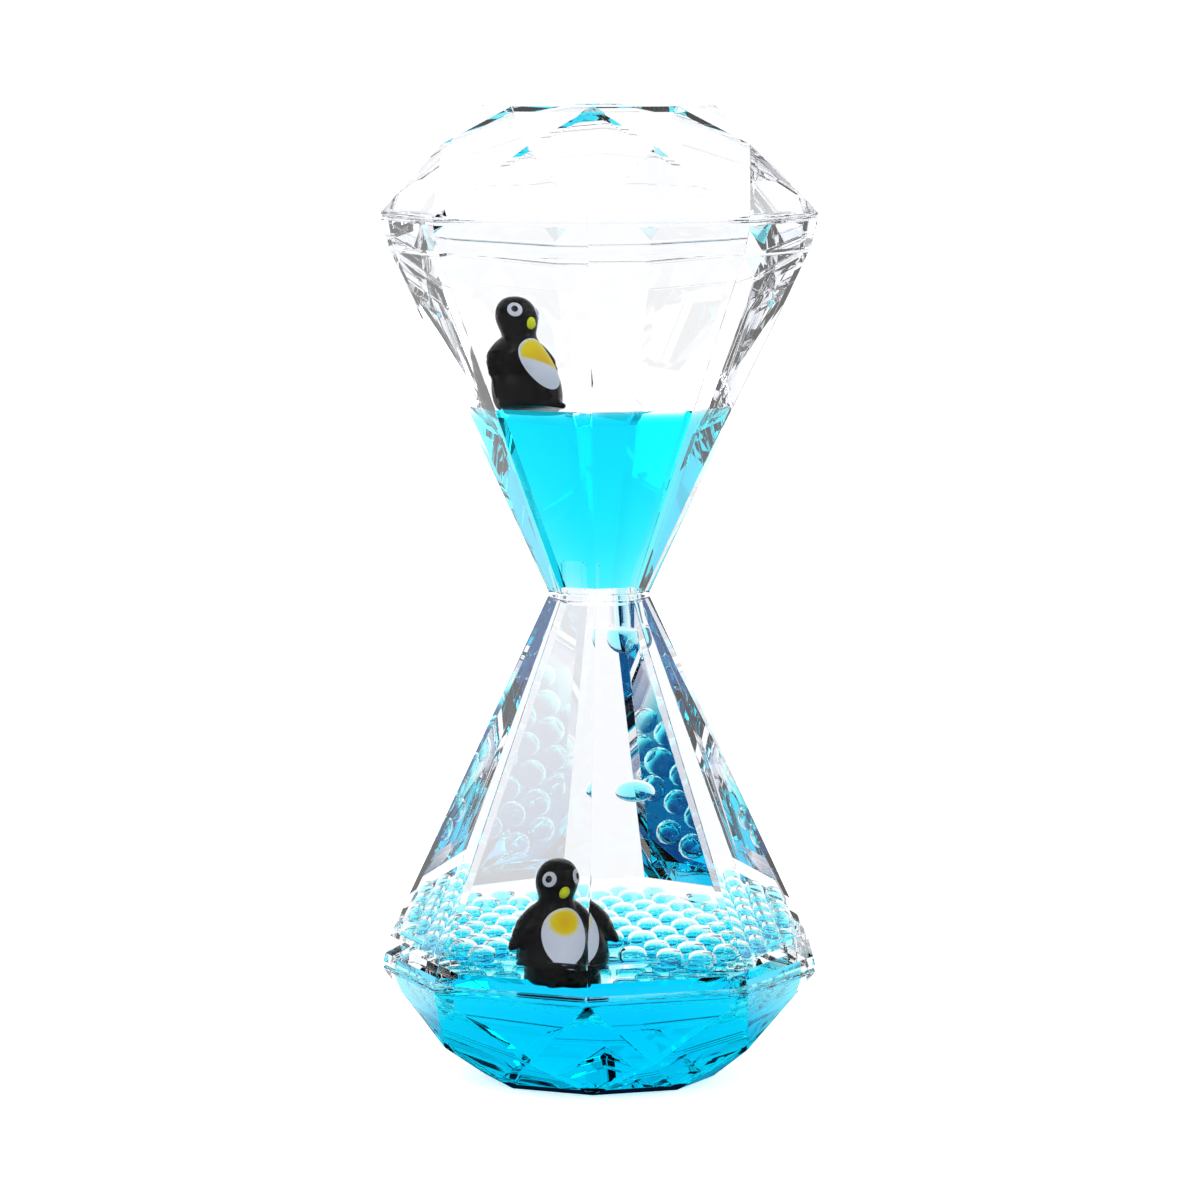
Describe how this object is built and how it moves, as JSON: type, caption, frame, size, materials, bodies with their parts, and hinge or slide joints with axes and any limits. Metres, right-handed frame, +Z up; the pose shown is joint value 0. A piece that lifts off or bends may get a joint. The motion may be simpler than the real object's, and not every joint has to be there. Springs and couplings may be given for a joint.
{
  "type": "liquid motion hourglass",
  "caption": "Clear faceted hourglass-shaped liquid timer: blue water drips through oil between two eight-sided chambers, each with a floating penguin figure.",
  "frame": {"origin": "middle of the lower flat table, on which it stands", "axes": "+Z up along the axis of both chambers; an octagon corner towards -Y, the front"},
  "size_m": [0.067, 0.067, 0.15],
  "materials": {
    "clear_plastic": "clear, polished",
    "clear_plug": "clear, polished",
    "clear_tube": "clear, polished",
    "clear_plate": "clear, polished",
    "glue": "clear cured cement",
    "seal_rubber": "pale, matt",
    "blue_water": "dyed water",
    "drop_foam": "drops of dyed water",
    "water_drop": "drop of dyed water",
    "penguin_black": "gloss moulded",
    "penguin_white": "satin paint",
    "penguin_yellow": "satin paint",
    "eye_white": "satin paint",
    "pupil_black": "gloss paint",
    "beak_green": "satin paint",
    "ballast_steel": "plain steel"
  },
  "bodies": {
    "case": {"drip_tube": "clear_tube", "drop_bed": "drop_foam", "fill_plug": "clear_plug", "hanging_drop": "water_drop", "lower_cap": "clear_plastic", "lower_chamber": "clear_plastic", "lower_glue_line": "glue", "lower_water": "blue_water", "neck_plate": "clear_plate", "plug_seal": "seal_rubber", "rise_tube": "clear_tube", "upper_cap": "clear_plastic", "upper_chamber": "clear_plastic", "upper_glue_line": "glue", "upper_water": "blue_water"},
    "falling_drop": {"falling_drop": "water_drop"},
    "upper_ballast": {"upper_penguin_ballast": "ballast_steel"},
    "upper_penguin": {"upper_penguin_body": "penguin_black", "upper_penguin_belly": "penguin_white", "upper_penguin_spot": "penguin_yellow", "upper_penguin_eyes": "eye_white", "upper_penguin_pupils": "pupil_black", "upper_penguin_beak": "beak_green"},
    "lower_ballast": {"lower_penguin_ballast": "ballast_steel"},
    "lower_penguin": {"lower_penguin_body": "penguin_black", "lower_penguin_belly": "penguin_white", "lower_penguin_spot": "penguin_yellow", "lower_penguin_eyes": "eye_white", "lower_penguin_pupils": "pupil_black", "lower_penguin_beak": "beak_green"}
  },
  "joints": [
    {"name": "drop_fall", "type": "slide", "parent": "case", "child": "falling_drop", "axis": [0, 0, 1], "range_m": [-0.0172, 0.0195]},
    {"name": "upper_float_travel", "type": "slide", "parent": "case", "child": "upper_ballast", "axis": [-0.3632, -0.2825, 0.8878], "range_m": [-0.02365, 0.01352], "deforming": ["upper_water"]},
    {"name": "upper_float_spin", "type": "hinge", "parent": "upper_ballast", "child": "upper_penguin", "pos_m": [-0.009, -0.007, 0.10515], "axis": [-0.056, 0.0668, 0.9962], "continuous": true},
    {"name": "lower_float_travel", "type": "slide", "parent": "case", "child": "lower_ballast", "axis": [0.149, 0.36, 0.921], "range_m": [-0.0015, 0.01], "deforming": ["lower_water", "drop_bed"]},
    {"name": "lower_float_spin", "type": "hinge", "parent": "lower_ballast", "child": "lower_penguin", "pos_m": [-0.0046, -0.0186, 0.0174], "axis": [0, 0, 1], "range_deg": [-90, 15]}
  ]
}
